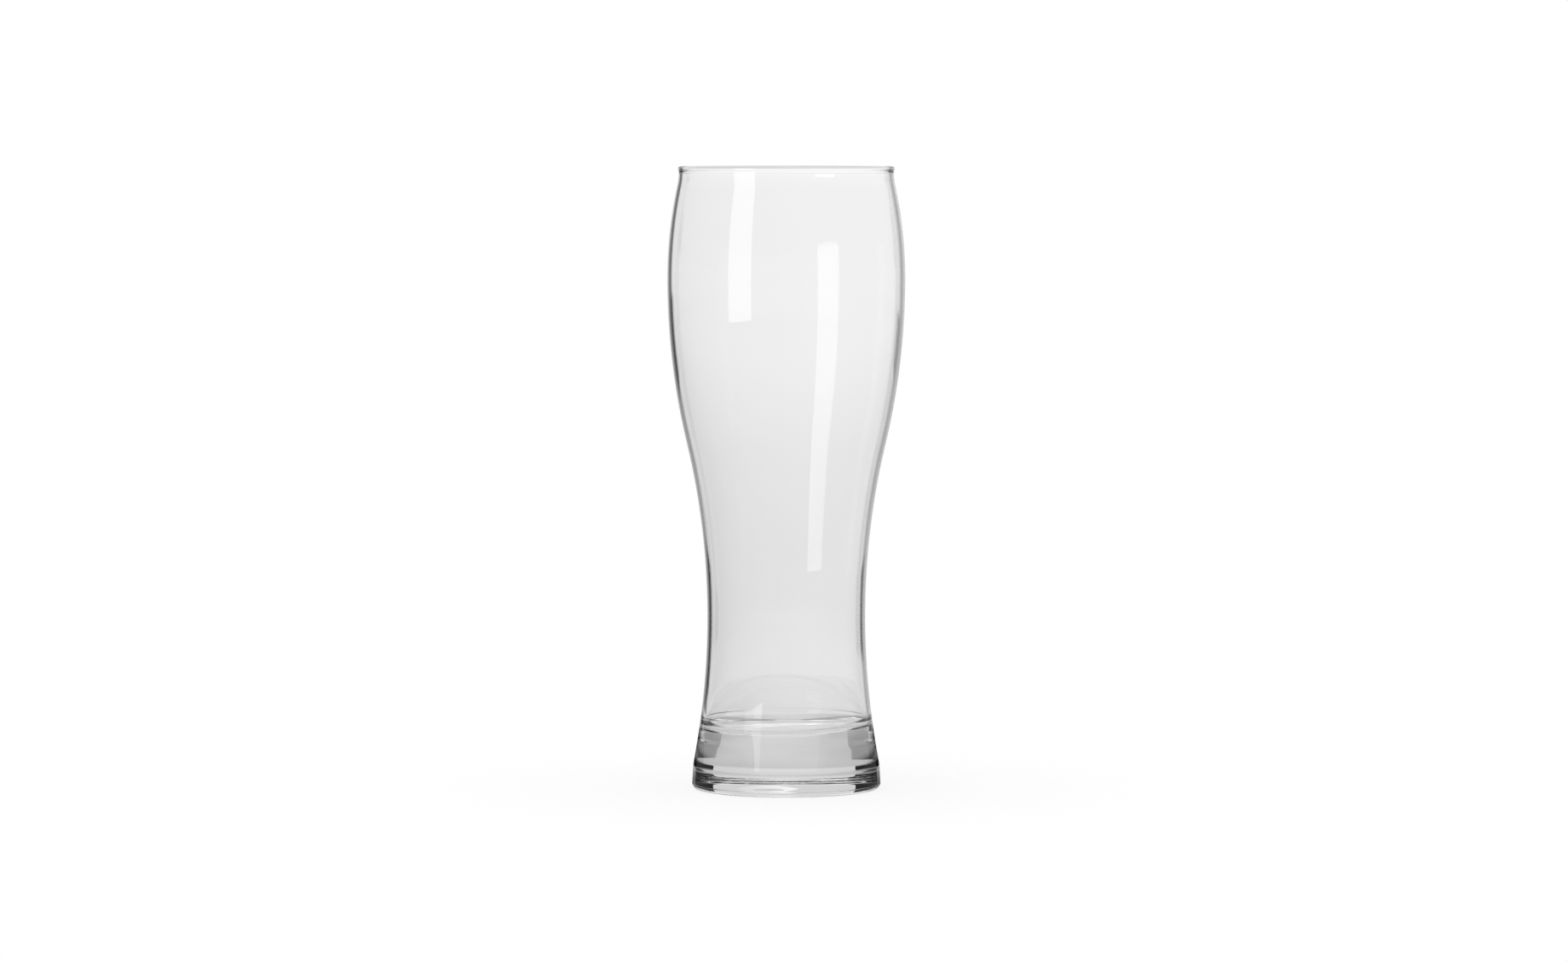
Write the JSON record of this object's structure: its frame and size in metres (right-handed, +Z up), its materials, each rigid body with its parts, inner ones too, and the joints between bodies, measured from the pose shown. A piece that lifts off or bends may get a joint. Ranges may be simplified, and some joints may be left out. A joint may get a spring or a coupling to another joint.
{
  "type": "weizen glass",
  "caption": "Tall clear wheat-beer glass with a full belly, a slim waist, a heavy solid foot and a rounded rim, for holding a drink.",
  "frame": {"origin": "middle of the face that the glass stands on, on the glass's own axis", "axes": "+Z up along the axis from the foot to the rim; X and Y lie in the plane that the glass stands on"},
  "size_m": [0.0824, 0.0824, 0.216],
  "materials": {
    "clear_glass": "fire-polished, clear and colourless"
  },
  "bodies": {
    "root": {"foot": "clear_glass", "bowl": "clear_glass", "rim": "clear_glass"}
  },
  "joints": []
}
